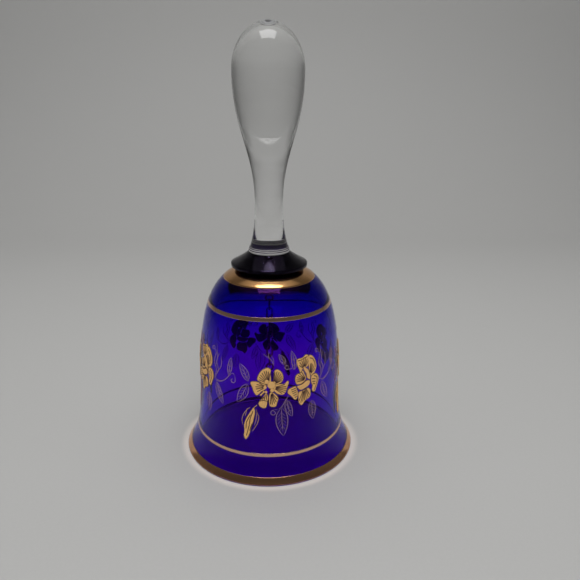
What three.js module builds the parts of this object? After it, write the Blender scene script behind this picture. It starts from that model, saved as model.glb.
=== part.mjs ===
// A cobalt glass hand bell with a clear glass handle, fired gilding and a chained clapper.
// Millimetres, +Z up. The origin is the centre of the mouth, on the plane the bell stands on.
import * as THREE from "three";
import { mergeVertices } from "three/addons/utils/BufferGeometryUtils.js";

// The cup: a superellipse dome over a straight body, with a flare that dies away above the mouth.
const mouthRadius = 36.3;
const bodyRadius = 29.2;
const crownHeight = 80;
const domeStart = 21.7; // height where the wall begins to lean in
const domeSquareness = 3.37; // exponent of height in the superellipse
const domeFullness = 3.19; // exponent of radius in the superellipse
const flareReach = 8.7; // height over which the flare falls to about a third
const wall = 2.1;
const crownWall = 8; // the glass thickens towards the collar
const lipChamfer = 0.4;

// The collar disc between cup and handle.
const collarRadius = 15.4;
const collarNeckRadius = 7.5;
const collarTopRadius = 8.5;
const collarHeight = 5.4;
const collarRim = 1.2; // height of the rim's upright edge
const collarDroop = 0.5; // how far the rim hangs below the underside at the neck
const collarRimRounding = 0.5;
const collarUndercut = 0.6; // how far the neck's foot flares before the underside
const collarSag = 1.95; // how far the hollow of the upper face lies below the top
const collarSagInset = 4.4; // how far inside the rim that hollow is

// The handle: a solid drop on a slim stem.
const handleLength = 85;
const footRadius = 8.3;
const footRounding = 0.4;
const footEdge = 1.4; // height of the foot's upright edge
const footReach = 9; // height over which the foot narrows to the stem
const stemRadius = 5.55;
const stemHeight = 20; // height of the slimmest place above the foot
const bulbRadius = 13.6;
const bulbBelowTop = 17.2; // from the handle's top down to its widest place
const stemStretch = 19; // how far the stem keeps its line before it swells
const bulbStretch = 21; // how far the swell keeps the bulb's line below its widest place

// The gilding.
const gilding = 0.2; // thickness of the fired bands
const relief = 0.3; // thickness of the raised flowers and leaves
const lipBandBottom = 0.45;
const lipBandTop = 2.8;
const lowerLineHeight = 10.9;
const lowerLineWidth = 1.15;
const upperLineHeight = 65.4;
const upperLineWidth = 1.4;
const shoulderBandRadius = 18.5;
const shoulderBandGap = 0.7; // from the collar's neck out to the band on the shoulder

// The sprigs of flowers round the body.
const sprigCount = 4;
const sprigHeight = 40; // height of the open blossom's centre
const blossomPetals = 6;
const petalNotch = 0.22; // depth of the notch between petals, as a share of the blossom
const openBlossomRadius = 8.1;
const sideBlossomRadius = 9.0;

// The clapper.
const chainLinks = 7;
const chainWire = 0.75;
const linkLength = 6.1;
const linkWidth = 3;
const eyeWidth = 3.8; // outside width of the round eyes
const hangerRadius = 4;
const hangerThickness = 1;
const beadRadius = 6;
const beadBore = 1.3; // diameter of the hole for the pin
const pinWire = 0.9;
const pinHeadRadius = 1.4;
const pinHeadHeight = 0.8;

// Clearances between pieces that rest on each other, and the fineness of round pieces.
const seatGap = 0.05;
const reliefGap = 0.2; // the flat facets of a sprig stay this far off the round wall
const linkGap = 0.05;
const roundSides = 40;
const handleSides = 24;
const beadSides = 16;
const wireSides = 6;
const ringSides = 12;

const cobalt = { color: 0x1a0478, roughness: 0.04, metalness: 0, transparent: true, opacity: 0.85 };
const collarGlass = { color: 0x0b0330, roughness: 0.04, metalness: 0 };
const clearGlass = { color: 0xe9eeee, roughness: 0.03, metalness: 0, transparent: true, opacity: 0.35 };
const bandGold = { color: 0xb98a4e, roughness: 0.15, metalness: 1 };
const flowerGold = { color: 0xd0a35f, roughness: 0.4, metalness: 1 };
const leafGold = { color: 0x9a7690, roughness: 0.4, metalness: 1 };
const chainBrass = { color: 0xb08a45, roughness: 0.3, metalness: 1 };

const bell = new THREE.Group();

function add(name, geometry, finish) {
  const mesh = new THREE.Mesh(geometry, new THREE.MeshStandardMaterial(finish));
  mesh.name = name;
  bell.add(mesh);
  return mesh;
}

// ---------------------------------------------------------------- the cup's shape

// Radius of the wall at a height, and height of the dome at a radius, for a wall set in by `inset`.
function wallRadius(z, inset = 0, crownInset = 0) {
  const rise = Math.max(0, (z - domeStart) / (crownHeight - crownInset - domeStart));
  const dome = (1 - Math.min(rise, 1) ** domeSquareness) ** (1 / domeFullness);
  return (bodyRadius - inset) * dome + (mouthRadius - bodyRadius) * Math.exp(-z / flareReach);
}

function domeHeight(r, inset = 0, crownInset = 0) {
  const reach = 1 - (r / (bodyRadius - inset)) ** domeFullness;
  return domeStart + (crownHeight - crownInset - domeStart) * reach ** (1 / domeSquareness);
}

// Stations up the outside: by height on the wall, then by radius over the crown.
const bandStations = {
  lip: [lipBandBottom, (lipBandBottom + lipBandTop) / 2, lipBandTop],
  lower: [lowerLineHeight - lowerLineWidth / 2, lowerLineHeight + lowerLineWidth / 2],
  upper: [upperLineHeight - upperLineWidth / 2, upperLineHeight + upperLineWidth / 2],
};
const bodyHeights = [5.6, 7.8, 15, 20, 30, 42, 52, 59, 70];
const shoulderBandInnerRadius = collarNeckRadius + shoulderBandGap;
const shoulderRadii = [shoulderBandRadius, 16, 13, shoulderBandInnerRadius];

function outerWall() {
  const heights = [...bodyHeights, ...bandStations.lip, ...bandStations.lower, ...bandStations.upper];
  const side = heights.sort((a, b) => a - b).map((z) => new THREE.Vector2(wallRadius(z), z));
  const crown = shoulderRadii.map((r) => new THREE.Vector2(r, domeHeight(r)));
  return [...side, ...crown];
}

const outer = outerWall();

// The stretch of the outside between two stations, moved out square to the wall.
function stretch(first, last, distance) {
  const from = outer.findIndex((p) => Math.abs(p.y - first) < 1e-6 || Math.abs(p.x - first) < 1e-6);
  const to = outer.findIndex((p) => Math.abs(p.y - last) < 1e-6 || Math.abs(p.x - last) < 1e-6);
  return outer.slice(from, to + 1).map((p, i) => {
    const before = outer[Math.max(from, from + i - 1)];
    const after = outer[Math.min(to, from + i + 1)];
    const along = after.clone().sub(before).normalize();
    return new THREE.Vector2(p.x + along.y * distance, p.y - along.x * distance);
  });
}

// ---------------------------------------------------------------- turned pieces

function turned(profile, sides = roundSides) {
  return new THREE.LatheGeometry(profile, sides).rotateX(Math.PI / 2);
}

function ring(profile, sides = roundSides) {
  return turned([...profile, profile[0].clone()], sides);
}

function cup() {
  const domeRises = [0.2, 0.44, 0.64, 0.8, 0.92]; // shares of the way from the dome's start to the ceiling
  const ceilingHeight = crownHeight - crownWall;
  const domeHeights = domeRises.map((rise) => domeStart + rise * (ceilingHeight - domeStart));
  const insideHeights = [0, 3, 7, 12, 20, ...domeHeights];
  const insideRadii = [15, 10, 5];
  const inside = insideHeights.map((z) => new THREE.Vector2(wallRadius(z, wall, crownWall), z));
  const ceiling = insideRadii.map((r) => new THREE.Vector2(r, domeHeight(r, wall, crownWall)));
  const bottomEdge = new THREE.Vector2(mouthRadius - lipChamfer, 0);
  const profile = [
    new THREE.Vector2(0, ceilingHeight),
    ...ceiling.reverse(),
    ...inside.reverse(),
    bottomEdge,
    new THREE.Vector2(wallRadius(lipChamfer), lipChamfer),
    ...outer,
    new THREE.Vector2(0, crownHeight),
  ];
  return turned(profile);
}

function band(first, last) {
  const under = stretch(first, last, seatGap);
  const over = stretch(first, last, seatGap + gilding);
  return ring([...over, ...under.reverse()]);
}

const collarBase = crownHeight + seatGap;
const collarTop = collarBase + collarHeight;

// The underside clears the band on the shoulder, which never stands higher than the crown.
function collar() {
  const underside = crownHeight + gilding + 2 * seatGap;
  const rimBottom = underside - collarDroop;
  const rimTop = rimBottom + collarRim;
  const face = new THREE.QuadraticBezierCurve(
    new THREE.Vector2(collarRadius - collarRimRounding, rimTop + collarRimRounding / 2),
    new THREE.Vector2(collarRadius - collarSagInset, collarTop - collarSag),
    new THREE.Vector2(collarTopRadius, collarTop),
  );
  return turned(
    [
      new THREE.Vector2(0, collarBase),
      new THREE.Vector2(collarNeckRadius, collarBase),
      new THREE.Vector2(collarNeckRadius + collarUndercut, underside),
      new THREE.Vector2(collarRadius - collarRimRounding, rimBottom),
      new THREE.Vector2(collarRadius, rimBottom + collarRimRounding),
      new THREE.Vector2(collarRadius, rimTop),
      ...face.getPoints(5),
      new THREE.Vector2(0, collarTop),
    ],
    handleSides,
  );
}

const handleBase = collarTop + seatGap;

function handle() {
  const top = handleBase + handleLength;
  const bulbHeight = top - bulbBelowTop;
  const stem = handleBase + stemHeight;
  const swell = new THREE.CubicBezierCurve(
    new THREE.Vector2(stemRadius, stem),
    new THREE.Vector2(stemRadius, stem + stemStretch),
    new THREE.Vector2(bulbRadius, bulbHeight - bulbStretch),
    new THREE.Vector2(bulbRadius, bulbHeight),
  );
  const crown = new THREE.EllipseCurve(0, bulbHeight, bulbRadius, bulbBelowTop, 0, Math.PI / 2);
  const foot = new THREE.QuadraticBezierCurve(
    new THREE.Vector2(footRadius - footRounding / 2, handleBase + footEdge),
    new THREE.Vector2(stemRadius, handleBase + footReach),
    new THREE.Vector2(stemRadius, stem),
  );
  return turned(
    [
      new THREE.Vector2(0, handleBase),
      new THREE.Vector2(footRadius - footRounding, handleBase),
      new THREE.Vector2(footRadius, handleBase + footRounding),
      ...foot.getPoints(4),
      ...swell.getPoints(8).slice(1),
      ...crown.getPoints(6).slice(1, -1),
      new THREE.Vector2(0, top),
    ],
    handleSides,
  );
}

// ---------------------------------------------------------------- relief laid on the wall

// A flat sheet in millimetres round (u) and up (w) from a sprig's centre, wrapped on the cup as a
// thin closed shell. `rim` lists the sheet's edge points in turn, anticlockwise seen from outside.
function wrapped({ points, faces, rim }, azimuth) {
  const place = ([u, w], lift) => {
    const z = sprigHeight + w;
    const r = wallRadius(z);
    const turn = azimuth + u / r;
    return [(r + lift) * Math.sin(turn), -(r + lift) * Math.cos(turn), z];
  };
  const count = points.length;
  const vertices = [
    ...points.map((p) => place(p, reliefGap + relief)),
    ...points.map((p) => place(p, reliefGap)),
  ];
  const triangles = [];
  for (const [a, b, c] of faces) triangles.push([a, b, c], [a + count, c + count, b + count]);
  rim.forEach((a, i) => {
    const b = rim[(i + 1) % rim.length];
    triangles.push([a, a + count, b + count], [a, b + count, b]);
  });
  const geometry = new THREE.BufferGeometry();
  geometry.setAttribute("position", new THREE.Float32BufferAttribute(vertices.flat(), 3));
  geometry.setIndex(triangles.flat());
  return mergeVertices(geometry);
}

// A flower head: a lobed outline round a centre, filled by rings.
function blossom([u0, w0], radius, wide, tall, turn) {
  const steps = 24;
  const rings = [0.5, 1];
  const points = [[u0, w0]];
  for (const share of rings)
    for (let i = 0; i < steps; i++) {
      const angle = (i / steps) * 2 * Math.PI;
      const lobe = 1 - petalNotch * (1 - Math.abs(Math.cos((blossomPetals / 2) * (angle - turn))));
      const r = radius * share * lobe;
      points.push([u0 + wide * r * Math.cos(angle), w0 + tall * r * Math.sin(angle)]);
    }
  const faces = [];
  for (let i = 0; i < steps; i++) {
    const j = (i + 1) % steps;
    const [a, b, c, d] = [1 + i, 1 + j, 1 + steps + i, 1 + steps + j];
    faces.push([0, a, b], [a, c, d], [a, d, b]);
  }
  return { points, faces, rim: Array.from({ length: steps }, (_, i) => 1 + steps + i) };
}

// A leaf, or several on one stem: a ribbon along a path, with its width given by a function of the
// share of the path gone by, pointed at both ends.
function ribbon(path, width, steps) {
  const curve = new THREE.CatmullRomCurve3(path.map(([u, w]) => new THREE.Vector3(u, w, 0)));
  const points = [path[0]];
  const left = [0];
  const right = [];
  const faces = [];
  for (let i = 1; i < steps; i++) {
    const at = curve.getPointAt(i / steps);
    const along = curve.getTangentAt(i / steps);
    const half = width(i / steps) / 2;
    points.push([at.x + along.y * half, at.y - along.x * half]);
    points.push([at.x - along.y * half, at.y + along.x * half]);
    const [a, b] = [points.length - 2, points.length - 1];
    if (i === 1) faces.push([0, a, b]);
    else faces.push([a - 2, a, b], [a - 2, b, b - 2]);
    left.push(a);
    right.unshift(b);
  }
  const end = points.push(path[path.length - 1]) - 1;
  faces.push([end - 2, end, end - 1]);
  return { points, faces, rim: [...left, end, ...right] };
}

const leafWidth = (widest, slim = 0.5) => (t) => Math.max(slim, widest * Math.sin(Math.PI * t) ** 0.8);
const pairWidth = (first, second, split) => (t) =>
  t < split
    ? Math.max(0.5, first * Math.sin((Math.PI * t) / split))
    : Math.max(0.5, second * Math.sin((Math.PI * (t - split)) / (1 - split)));

// Each piece of a sprig, in millimetres round and up from the open blossom's centre.
const sprigPieces = {
  open_blossom: [blossom([0.1, -0.4], openBlossomRadius, 0.94, 1.1, Math.PI / 3.4), flowerGold],
  side_blossom: [blossom([14.2, 0.8], sideBlossomRadius, 0.68, 1.16, Math.PI / 2), flowerGold],
  bud: [ribbon([[-6.5, -9.4], [-8.3, -15.5], [-9.6, -22.8]], leafWidth(5.6, 1), 7), flowerGold],
  left_leaves: [
    ribbon(
      [[-11.6, 8.4], [-9.7, 4.6], [-8.9, 1.3], [-10.6, -3], [-13, -7.8]],
      pairWidth(2.8, 3.4, 0.45),
      10,
    ),
    leafGold,
  ],
  lower_leaves: [
    ribbon(
      [[8.7, -13.4], [7.2, -9.6], [5.9, -8.6], [4.7, -13.6], [5.3, -21.4]],
      pairWidth(2.4, 4.2, 0.33),
      10,
    ),
    leafGold,
  ],
  side_leaf: [ribbon([[17.6, -9.9], [18, -12.6], [18.1, -16.5]], leafWidth(3.2), 6), leafGold],
  upper_leaves: [
    ribbon([[-1.4, 13.6], [0.6, 9.8], [6, 10], [8, 13.4]], pairWidth(1.2, 2, 0.5), 9),
    leafGold,
  ],
  fronds: [ribbon([[21.6, 1], [22.6, 5.4], [24.4, 10.4]], leafWidth(2.2), 6), leafGold],
  trailing_leaves: [
    ribbon(
      [[26.2, -10.2], [24.6, -6], [24, -1.6], [27, 1.2], [29.4, 4], [29, 9.6]],
      pairWidth(3.2, 1.8, 0.55),
      12,
    ),
    leafGold,
  ],
};

// ---------------------------------------------------------------- the clapper

// A wire ring standing in the XZ plane, its halves moved apart along Z to the length asked for.
function wireRing(width, length) {
  const radius = (width - chainWire) / 2;
  const reach = (length - chainWire) / 2;
  const sag = radius * Math.cos(Math.PI / ringSides);
  const geometry = new THREE.TorusGeometry(radius, chainWire / 2, wireSides, ringSides);
  geometry.rotateZ(Math.PI / ringSides).rotateX(Math.PI / 2);
  const position = geometry.getAttribute("position");
  for (let i = 0; i < position.count; i++)
    position.setZ(i, position.getZ(i) + Math.sign(position.getZ(i)) * (reach - sag));
  return geometry;
}

function bead() {
  const bore = beadBore / 2;
  const lean = Math.asin(bore / beadRadius);
  const arc = new THREE.EllipseCurve(0, 0, beadRadius, beadRadius, lean - Math.PI / 2, Math.PI / 2 - lean);
  return ring(arc.getPoints(8), beadSides);
}

function pin(length) {
  return turned(
    [
      new THREE.Vector2(0, 0),
      new THREE.Vector2(pinHeadRadius, 0),
      new THREE.Vector2(pinHeadRadius, pinHeadHeight),
      new THREE.Vector2(pinWire / 2, pinHeadHeight),
      new THREE.Vector2(pinWire / 2, length),
      new THREE.Vector2(0, length),
    ],
    beadSides,
  );
}

function addClapper() {
  const ceiling = crownHeight - crownWall - 2 * seatGap;
  add("hanger_plate", turned([
    new THREE.Vector2(0, ceiling - hangerThickness),
    new THREE.Vector2(hangerRadius, ceiling - hangerThickness),
    new THREE.Vector2(hangerRadius, ceiling),
    new THREE.Vector2(0, ceiling),
  ]), chainBrass);

  const eyeReach = (eyeWidth - chainWire) / 2;
  const linkReach = (linkLength - chainWire) / 2;
  const eyeCentre = ceiling - hangerThickness - seatGap - eyeWidth / 2;
  add("hanger_eye", wireRing(eyeWidth, eyeWidth), chainBrass).position.z = eyeCentre;

  // Each ring hangs inside the one above, so its top wire lies a wire's thickness over that one's
  // bottom wire, and it turns about that bottom wire.
  let pivot = eyeCentre - eyeReach;
  for (let i = 1; i <= chainLinks; i++) {
    const link = add(`chain_link_${i}`, wireRing(linkWidth, linkLength), chainBrass);
    link.position.z = pivot + chainWire + linkGap - linkReach;
    link.rotation.z = i % 2 ? Math.PI / 2 : 0;
    pivot = link.position.z - linkReach;
  }
  const eye = add("clapper_eye", wireRing(eyeWidth, eyeWidth), chainBrass);
  eye.position.z = pivot + chainWire + linkGap - eyeReach;
  eye.rotation.z = chainLinks % 2 ? 0 : Math.PI / 2;

  const pinTop = eye.position.z - eyeWidth / 2 - seatGap;
  const pinLength = 2 * beadRadius + pinHeadHeight + 1;
  add("clapper_pin", pin(pinLength), chainBrass).position.z = pinTop - pinLength;
  const beadBottom = pinTop - pinLength + pinHeadHeight + seatGap;
  add("clapper_bead", bead(), clearGlass).position.z = beadBottom + beadRadius;
}

// ---------------------------------------------------------------- assembly

add("bell_cup", cup(), cobalt);
add("collar", collar(), collarGlass);
add("handle", handle(), clearGlass);
add("lip_gilt_band", band(bandStations.lip[0], lipBandTop), bandGold);
add("lower_gilt_line", band(...bandStations.lower), bandGold);
add("upper_gilt_line", band(...bandStations.upper), bandGold);
add("shoulder_gilt_band", band(shoulderBandRadius, shoulderBandInnerRadius), bandGold);
for (let i = 0; i < sprigCount; i++)
  for (const [piece, [sheet, finish]] of Object.entries(sprigPieces))
    add(`${piece}_${i + 1}`, wrapped(sheet, (i / sprigCount) * 2 * Math.PI), finish);
addClapper();

export default bell;
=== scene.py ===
"""A cobalt glass hand bell: gilt bands and flower sprigs, a clear drop handle, a chained clapper."""
import math

import bpy
import numpy as np
from mathutils import Euler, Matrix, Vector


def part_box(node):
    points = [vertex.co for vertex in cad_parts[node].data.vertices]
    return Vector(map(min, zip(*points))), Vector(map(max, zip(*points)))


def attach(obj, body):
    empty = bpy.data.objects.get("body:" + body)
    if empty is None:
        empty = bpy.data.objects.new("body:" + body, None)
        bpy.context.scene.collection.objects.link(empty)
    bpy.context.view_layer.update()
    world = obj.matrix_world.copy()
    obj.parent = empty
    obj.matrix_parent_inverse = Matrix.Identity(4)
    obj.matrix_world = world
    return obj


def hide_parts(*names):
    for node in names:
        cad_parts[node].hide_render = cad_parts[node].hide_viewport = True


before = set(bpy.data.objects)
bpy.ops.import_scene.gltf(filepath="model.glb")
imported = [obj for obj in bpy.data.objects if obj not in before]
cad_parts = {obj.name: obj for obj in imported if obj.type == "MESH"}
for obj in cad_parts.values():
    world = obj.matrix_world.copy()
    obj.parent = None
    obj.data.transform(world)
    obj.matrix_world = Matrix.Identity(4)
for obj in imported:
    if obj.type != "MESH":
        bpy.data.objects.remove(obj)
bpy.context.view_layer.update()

bl_info = {
    "name": "Cobalt Glass Hand Bell",
    "version": (1, 0, 0),
    "blender": (4, 5, 0),
    "location": "View3D > Sidebar > Bell",
    "description": "Builds a gilded cobalt glass hand bell with a chained clapper",
    "category": "Add Mesh",
}

MM = 0.001
TURN = 2 * math.pi
SPRIGS = 4
LINKS = 7


# The outside of the cup is worked out by height up to here, measured down from the crown, and by radius
# above it. The inside changes over in the same way, measured down from the ceiling.
OUTSIDE_TURN = 10 * MM
INSIDE_TURN = 7 * MM

# Drawn petals, in millimetres: the dark line at the edge, half the width of a line drawn inside, and
# how far in from the edge a petal reaches its full height.
EDGE_LINE = 0.25
INNER_LINE = 0.17
PETAL_ROUND = 1.3

# The pressed rings of the handle's foot, in millimetres: how far in from the foot's edge, how high
# and how large, and the heights of the painted shade lines in the grooves beside them.
FOOT_RINGS = ((0.0, 0.55, 0.5), (0.22, 1.4, 0.36), (0.45, 2.05, 0.28))
FOOT_SHADE_LINES = (1.04, 1.77, 2.32)

# The sheet, in metres: how far in front and behind it lies flat, the radius of its bend, how high it
# rises and half its width. Then where the painted pool of light round the lip begins and ends to fade on it.
SHEET_FRONT = -1.2
SHEET_BACK = 0.36
SHEET_BEND = 0.26
SHEET_TOP = 1.4
SHEET_SIDE = 1.6
LIGHT_POOL_FROM = 36.5 * MM
LIGHT_POOL_TO = 39.8 * MM


def low(node):
    """The lowest corner of a CAD node's box."""
    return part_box(node)[0]


def high(node):
    """The highest corner of a CAD node's box."""
    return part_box(node)[1]


# ---------------------------------------------------------------- sizes and colours to change


def length(name, description, default):
    """A size in metres that a user may change."""
    return bpy.props.FloatProperty(
        name=name, description=description, default=default, min=0.0, precision=5, unit="LENGTH"
    )


def share(name, description, default, most=10.0):
    """A plain number that a user may change."""
    return bpy.props.FloatProperty(
        name=name, description=description, default=default, min=0.0, max=most, precision=4
    )


def angle(name, description, degrees):
    """An angle that a user may change."""
    return bpy.props.FloatProperty(
        name=name, description=description, default=math.radians(degrees), subtype="ANGLE"
    )


def power(name, description, watts):
    """A light's power in watts that a user may change."""
    return bpy.props.FloatProperty(
        name=name, description=description, default=watts, min=0.0, max=100.0, precision=4, unit="POWER"
    )


def colour(name, description, default):
    """A linear colour that a user may change."""
    return bpy.props.FloatVectorProperty(
        name=name, description=description, default=default, min=0.0, max=1.0, size=3, subtype="COLOR"
    )


class CupSizes(bpy.types.PropertyGroup):
    """The blown cup: a superellipse dome on a straight body, with a flare at the mouth."""

    mouth_radius: length("Mouth radius", "Radius the flare reaches at the table", 36.3 * MM)
    body_radius: length("Body radius", "Radius of the straight part of the wall", 29.2 * MM)
    crown_height: length("Crown height", "Height of the glass at the axis", high("bell_cup").z)
    dome_start: length("Dome start", "Height where the wall begins to lean in", 21.7 * MM)
    dome_squareness: share("Dome squareness", "Exponent of height in the dome's curve", 3.37)
    dome_fullness: share("Dome fullness", "Exponent of radius in the dome's curve", 3.19)
    flare_reach: length("Flare reach", "Height over which the flare falls to a third", 8.7 * MM)
    wall: length("Wall", "Thickness of the side wall", 2.1 * MM)
    crown_wall: length("Crown wall", "Thickness of the glass at the crown", 8 * MM)
    lip_rounding: length("Lip rounding", "Radius of the polished edges of the lip", 0.4 * MM)
    sides: bpy.props.IntProperty(
        name="Sides", description="Points round each turned piece", default=160, min=24
    )


class HandleSizes(bpy.types.PropertyGroup):
    """The collar disc and the clear drop above it."""

    collar_neck: length("Collar neck", "Radius of the collar where it joins the cup", 7.5 * MM)
    collar_lift: length("Collar lift", "From the collar's foot up to its underside", 0.25 * MM)
    collar_droop: length("Collar droop", "How far the rim hangs below the underside at the neck", 0.5 * MM)
    collar_rim: length("Collar rim", "Height of the collar's upright edge", 1.2 * MM)
    collar_rounding: length("Collar rounding", "Radius of the collar's edges", 0.45 * MM)
    collar_top: length("Collar top", "Radius of the collar under the handle", 8.5 * MM)
    foot_radius: length("Foot radius", "Radius of the handle's spread foot", 8.3 * MM)
    stem_radius: length("Stem radius", "Radius at the slimmest place of the stem", 5.55 * MM)
    stem_height: length("Stem height", "Height of the slimmest place above the foot", 20 * MM)
    bulb_drop: length("Bulb drop", "From the top down to the widest place", 17.2 * MM)


class GildingSizes(bpy.types.PropertyGroup):
    """The fired gold: bands, raised flowers and drawn leaves."""

    band_proud: length("Band thickness", "How far the bands stand off the glass", 0.05 * MM)
    sprig_height: length("Sprig height", "Height of the open blossoms' centres", 40 * MM)
    sunk: length("Sunk", "How far the gold's underside is fused into the glass", 0.03 * MM)
    petal_proud: length("Petal relief", "Height of a petal's crown above the glass", 0.34 * MM)
    groove: length("Groove depth", "Depth of the lines drawn in the petals", 0.09 * MM)
    stroke_width: length("Stroke width", "Width of the drawn lines of the leaves", 0.3 * MM)
    stroke_proud: length("Stroke relief", "Height of the drawn lines above the glass", 0.14 * MM)


class ClapperSizes(bpy.types.PropertyGroup):
    """The chain's wire and the bead on its headed pin."""

    wire: length("Chain wire", "Diameter of the chain's wire", 0.75 * MM)
    pin_wire: length("Pin wire", "Diameter of the pin through the bead", 0.9 * MM)
    bore: length("Bead bore", "Diameter of the hole through the bead", 1.3 * MM)
    pin_head: length("Pin head", "Height of the pin's head", 0.8 * MM)


class Finishes(bpy.types.PropertyGroup):
    """The colours of glass, gold and brass."""

    cobalt: colour("Cobalt", "What the blue glass lets through", (0.62, 0.0, 0.955))
    cobalt_depth: share("Cobalt depth", "How strongly the blue glass absorbs, per metre", 1500, 9000)
    cobalt_shine: colour("Cobalt shine", "Tint of what the blue glass mirrors face on", (0.55, 0.1, 1.0))
    clear: colour("Clear", "What the clear glass lets through", (0.40, 0.42, 0.38))
    clear_depth: share("Clear depth", "How strongly the clear glass absorbs, per metre", 5, 9000)
    collar: colour("Collar", "What the collar's glass lets through", (0.5, 0.1, 0.72))
    collar_depth: share("Collar depth", "How strongly the collar absorbs, per metre", 7000, 9000)
    collar_shine: colour("Collar shine", "Tint of what the collar mirrors face on", (0.6, 0.4, 1.0))
    joint: colour("Fused joint", "The cobalt seen through the handle's foot", (0.012, 0.004, 0.05))
    band_gold: colour("Band gold", "Burnished bands", (0.76, 0.41, 0.17))
    lip_gold: colour("Lip gold", "The rubbed, browner band at the mouth", (0.82, 0.42, 0.23))
    line_gold: colour("Line gold", "Thin pinkish lines", (0.80, 0.50, 0.36))
    flower_gold: colour("Flower gold", "Satin gold of the flowers", (1.0, 0.59, 0.22))
    drawn_line: colour("Drawn line", "Dark lines between and on the petals", (0.035, 0.006, 0.02))
    leaf_gold: colour("Leaf gold", "Thin line work of the leaves", (0.52, 0.33, 0.42))
    brass: colour("Brass", "Chain, hanger and pin", (0.52, 0.36, 0.14))
    # Painted pool of light: a lighter paper colour laid round the lip's foot to stand in for light falling
    # there.
    painted_light_pool: colour("Paper glow", "The sheet where light leaves the lip onto it", (0.74, 0.70, 0.67))
    paper: colour("Paper", "The pale sheet the bell stands on", (0.522, 0.52, 0.511))


class StageSizes(bpy.types.PropertyGroup):
    """The camera, the lights and the sheet under the bell."""

    camera_back: length("Camera distance", "How far in front of the axis the camera stands", 226.7 * MM)
    camera_height: length("Camera height", "Height of the camera above the table", 143.8 * MM)
    camera_dip: angle("Camera dip", "How far the camera looks down", 18.28)
    camera_turn: angle("Camera turn", "How far the camera turns to its right", 2.15)
    camera_roll: angle("Camera roll", "How far the camera leans about its own line of sight", 0.4)
    lens: bpy.props.FloatProperty(
        name="Lens", description="Focal length on a 36 mm wide sensor", default=36.0, min=1.0, unit="CAMERA"
    )
    softbox_power: power("Softbox power", "Overhead softbox", 1.95)
    sheet_power: power("Sheet wash power", "Wide light over the sheet behind", 0.86)
    wall_power: power("Wall wash power", "Light thrown at the sheet's rise", 0.7)
    fill_power: power("Front fill power", "Light behind the camera", 0.85)
    room_light: share("Room light", "Strength of the room's own light", 0.45)


def sizes():
    """The scene, which holds the sizes and colours of every piece."""
    return bpy.context.scene


# ---------------------------------------------------------------- surfaces worked out with numpy


def skin(rings, first=None, last=None, loop=False):
    """Points, quads and triangles of a tube: each ring's points in turn, ring after ring. `first` and
    `last` close its ends to a point, and `loop` joins the last ring to the first."""
    count, around = rings.shape[:2]
    points = rings.reshape(-1, 3)
    rows = np.arange(count if loop else count - 1)[:, None]
    after = (rows + 1) % count
    columns = np.arange(around)[None]
    beside = (columns + 1) % around
    ring, next_ring = rows * around, after * around
    corners = (ring + columns, ring + beside, next_ring + beside, next_ring + columns)
    quads = np.stack(corners, -1).reshape(-1, 4)
    triangles = []
    here = np.arange(around)
    there = (here + 1) % around
    if first is not None:
        triangles.append(np.stack([np.full(around, len(points)), there, here], -1))
        points = np.vstack([points, first])
    if last is not None:
        end = (count - 1) * around
        triangles.append(np.stack([np.full(around, len(points)), end + here, end + there], -1))
        points = np.vstack([points, last])
    return points, quads, np.vstack(triangles) if triangles else np.zeros((0, 3), int)


def joined(parts):
    """Several skins, each with its own list of vertex values, as one."""
    points, quads, triangles, values = [], [], [], []
    start = 0
    for (part_points, part_quads, part_triangles), part_values in parts:
        points.append(part_points)
        quads.append(part_quads + start)
        triangles.append(part_triangles + start)
        values.append(part_values)
        start += len(part_points)
    return (np.vstack(points), np.vstack(quads), np.vstack(triangles)), np.concatenate(values)


def make_piece(name, surface, material, body="bell", node=None, line=None):
    """Puts a skin into a mesh object that rides on a body and stands for a CAD node."""
    points, quads, triangles = surface
    mesh = bpy.data.meshes.new(name)
    mesh.from_pydata(points.tolist(), [], quads.tolist() + triangles.tolist())
    mesh.polygons.foreach_set("use_smooth", np.ones(len(mesh.polygons), bool))
    if line is not None:
        mesh.attributes.new("line", "FLOAT", "POINT").data.foreach_set("value", line.astype(np.float32))
    mesh.materials.append(material)
    piece = bpy.data.objects.new(name, mesh)
    bpy.context.scene.collection.objects.link(piece)
    if body:
        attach(piece, body)
    if node:
        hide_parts(node)
    return piece


def turned(profile, loop=False, sides=None):
    """A profile of (radius, height) points turned about the axis. Points on the axis close it."""
    sides = sides or sizes().bell_cup.sides
    profile = np.asarray(profile, float)
    ends = [None, None]
    if not loop and profile[0, 0] < 1e-9:
        ends[0], profile = [0, 0, profile[0, 1]], profile[1:]
    if not loop and profile[-1, 0] < 1e-9:
        ends[1], profile = [0, 0, profile[-1, 1]], profile[:-1]
    angle = np.arange(sides) / sides * TURN
    radius, height = profile[:, :1], profile[:, 1:]
    rings = np.stack(
        [radius * np.cos(angle), radius * np.sin(angle), height + np.zeros(sides)], -1
    )
    return skin(rings, ends[0], ends[1], loop)


def bezier(points, steps):
    """Points on a Bezier curve of any degree, by blending the controls with Bernstein weights."""
    controls = np.asarray(points, float)
    degree = len(controls) - 1
    t = np.linspace(0, 1, steps)[:, None]
    powers = np.arange(degree + 1)[None]
    choose = np.array([math.comb(degree, k) for k in range(degree + 1)])
    return (choose * t**powers * (1 - t) ** (degree - powers)) @ controls


def eased(points, steps):
    """Points on a smooth curve through the controls: a Catmull-Rom spline, evenly parted."""
    controls = np.asarray(points, float)
    padded = np.vstack([2 * controls[0] - controls[1], controls, 2 * controls[-1] - controls[-2]])
    at = np.linspace(0, len(controls) - 1, steps)
    span = np.minimum(at.astype(int), len(controls) - 2)
    t = (at - span)[:, None]
    a, b, c, d = (padded[span + k] for k in range(4))
    return 0.5 * (2 * b + (c - a) * t + (2 * a - 5 * b + 4 * c - d) * t**2 + (3 * b - a - 3 * c + d) * t**3)


# ---------------------------------------------------------------- the cup's shape


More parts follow.
